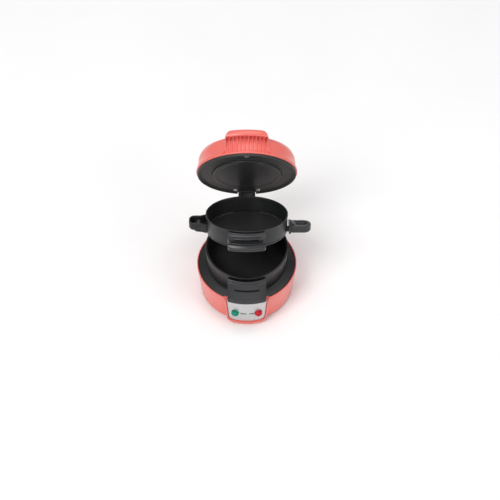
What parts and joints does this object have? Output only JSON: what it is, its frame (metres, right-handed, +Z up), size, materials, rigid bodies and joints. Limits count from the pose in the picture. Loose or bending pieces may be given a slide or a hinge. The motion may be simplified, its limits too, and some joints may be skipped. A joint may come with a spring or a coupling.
{
  "type": "breakfast sandwich maker",
  "caption": "Round clam-type sandwich cooker with a bowl base, hinged cooking rings, a swing-out plate between them, a domed lid and indicator lights.",
  "frame": {"origin": "centre of the bottom of the bounding box in the rest pose, on the surface the feet stand on", "axes": "+Z up, front of the appliance with the lights towards -Y, plate handle towards +X, hinge pin along X at the back"},
  "size_m": [0.1634, 0.1958, 0.2334],
  "materials": {
    "coral_plastic": "gloss moulded polypropylene, coral red",
    "black_plastic": "satin black heat-resistant moulding",
    "handle_plastic": "semi-matte charcoal phenolic",
    "natural_plastic": "natural nylon",
    "feet_rubber": "soft black rubber",
    "nonstick_coating": "non-stick coated aluminium",
    "ring_coating": "dark non-stick coated die-cast ring, soft sheen",
    "heater_steel": "heat-tinted sheathed element",
    "bright_aluminium": "bare rolled aluminium",
    "silver_panel": "fine brushed silver facing",
    "green_lens": "translucent green, polished",
    "red_lens": "translucent red, polished",
    "lamp_glass": "clear glass indicator lamp",
    "wire_sleeve": "pale heat-resistant wire sleeve",
    "screw_steel": "zinc plated steel"
  },
  "bodies": {
    "base": {"base_housing": "coral_plastic", "bottom_cover": "black_plastic", "rubber_feet": "feet_rubber", "bottom_cover_screws": "screw_steel", "inner_surround": "black_plastic", "bottom_heating_plate": "nonstick_coating", "bottom_heating_element": "heater_steel", "heat_reflector": "bright_aluminium", "thermostat": "bright_aluminium", "thermal_fuse": "bright_aluminium", "cord_gland": "black_plastic", "terminal_block": "natural_plastic", "terminal_screws": "screw_steel", "base_wiring": "wire_sleeve", "control_panel": "silver_panel", "ready_lens_green": "green_lens", "power_lens_red": "red_lens", "lamp_holder": "black_plastic", "indicator_lamps": "lamp_glass", "hinge_bracket": "black_plastic", "hinge_pin": "screw_steel", "pin_clips": "screw_steel", "bracket_screws": "screw_steel"},
    "lower_ring": {"bottom_ring": "ring_coating", "bottom_ring_handle": "handle_plastic", "bottom_handle_rivets": "screw_steel"},
    "upper_ring": {"top_ring": "ring_coating", "top_ring_handle": "handle_plastic", "top_handle_rivets": "screw_steel", "pivot_lug": "black_plastic", "plate_pivot_pin": "screw_steel"},
    "middle_plate": {"cooking_plate": "nonstick_coating", "plate_handle": "handle_plastic", "plate_handle_rivets": "screw_steel"},
    "lid": {"lid_shell": "coral_plastic", "lid_inner_cover": "black_plastic", "lid_front_screw": "screw_steel", "top_heating_plate": "nonstick_coating", "top_heating_element": "heater_steel", "lid_heat_shield": "bright_aluminium", "lid_thermal_fuse": "bright_aluminium", "lid_hinge_arm": "black_plastic", "lid_hinge_screws": "screw_steel"}
  },
  "joints": [
    {"name": "lower_ring_hinge", "type": "hinge", "parent": "base", "child": "lower_ring", "pos_m": [-0.00435, 0.04249, 0.08], "axis": [-1, 0, 0], "range_deg": [0, 20]},
    {"name": "upper_ring_hinge", "type": "hinge", "parent": "lower_ring", "child": "upper_ring", "pos_m": [-0.00435, 0.04249, 0.08], "axis": [-1, 0, 0], "range_deg": [-23.5, 17]},
    {"name": "lid_hinge", "type": "hinge", "parent": "upper_ring", "child": "lid", "pos_m": [-0.00435, 0.04249, 0.08], "axis": [-1, 0, 0], "range_deg": [-46, 20]},
    {"name": "plate_swivel", "type": "hinge", "parent": "upper_ring", "child": "middle_plate", "pos_m": [-0.06835, -0.01301, 0.11286], "axis": [0, -0.3987, -0.9171], "range_deg": [0, 115]}
  ]
}
